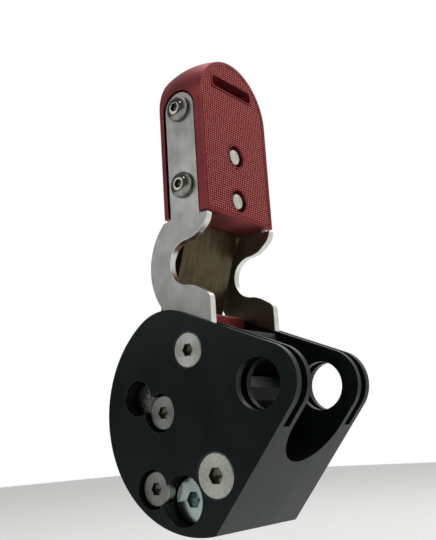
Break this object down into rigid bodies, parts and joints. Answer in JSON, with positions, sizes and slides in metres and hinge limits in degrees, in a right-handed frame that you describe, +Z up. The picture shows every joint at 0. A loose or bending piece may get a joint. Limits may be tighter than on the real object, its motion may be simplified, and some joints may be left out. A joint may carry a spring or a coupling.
{
  "type": "rope clutch",
  "caption": "Rope clutch with a black slotted body, a toothed jaw on a cross pin, and a raised lever handle with hooked steel side plates and a red grip.",
  "frame": {"origin": "on the axis of the lower cross pin, in the part's middle plane", "axes": "+Z up along the raised handle, +X out of the rope mouth at the front, +Y across the part towards the side where the pins' blind ends are"},
  "size_m": [0.0812, 0.0474, 0.1742],
  "materials": {
    "black_anodised": "satin black anodised",
    "red_anodised": "red anodised, fine knurl on the grip's front",
    "steel": "satin stainless, polished edges",
    "zinc_plate": "bright zinc plated",
    "dark_steel": "dull grey hardened steel",
    "spring_steel": "drawn spring wire",
    "acetal": "natural acetal"
  },
  "bodies": {
    "frame": {"body": "black_anodised", "rope_seat": "dark_steel", "mount_pin": "zinc_plate", "jaw_pin": "dark_steel", "jaw_pin_screw": "dark_steel", "mount_pin_screw": "dark_steel", "seat_screw_rear": "steel", "seat_screw_front": "steel", "base_screw_near": "steel", "axle_bush_near": "acetal", "jaw_washer_near": "acetal", "base_screw_far": "steel", "axle_bush_far": "acetal", "jaw_washer_far": "acetal"},
    "handle": {"side_plate_near": "steel", "side_plate_far": "steel", "web_plate": "steel", "grip": "red_anodised", "grip_screw_lower": "steel", "grip_screw_upper": "steel", "plate_screw_near_lower": "steel", "plate_screw_near_upper": "steel", "plate_screw_far_lower": "steel", "plate_screw_far_upper": "steel", "pivot_axle": "steel", "drive_cam": "dark_steel", "cam_block": "red_anodised", "block_screw_near": "dark_steel", "block_screw_far": "dark_steel", "axle_screw_near": "steel", "axle_screw_far": "steel"},
    "jaw": {"clamp_jaw": "dark_steel", "jaw_spring": "spring_steel"}
  },
  "joints": [
    {"name": "handle_close", "type": "hinge", "parent": "frame", "child": "handle", "pos_m": [0.0054, 0, 0.0492], "axis": [0, 1, 0], "range_deg": [0, 116.5]},
    {"name": "jaw_clamp", "type": "hinge", "parent": "frame", "child": "jaw", "pos_m": [-0.0185, 0, 0.0349], "axis": [0, 1, 0], "range_deg": [0, 11]}
  ],
  "couplings": [
    {"joint": "jaw_clamp", "follows": "handle_close", "ratio": 0.0944}
  ]
}
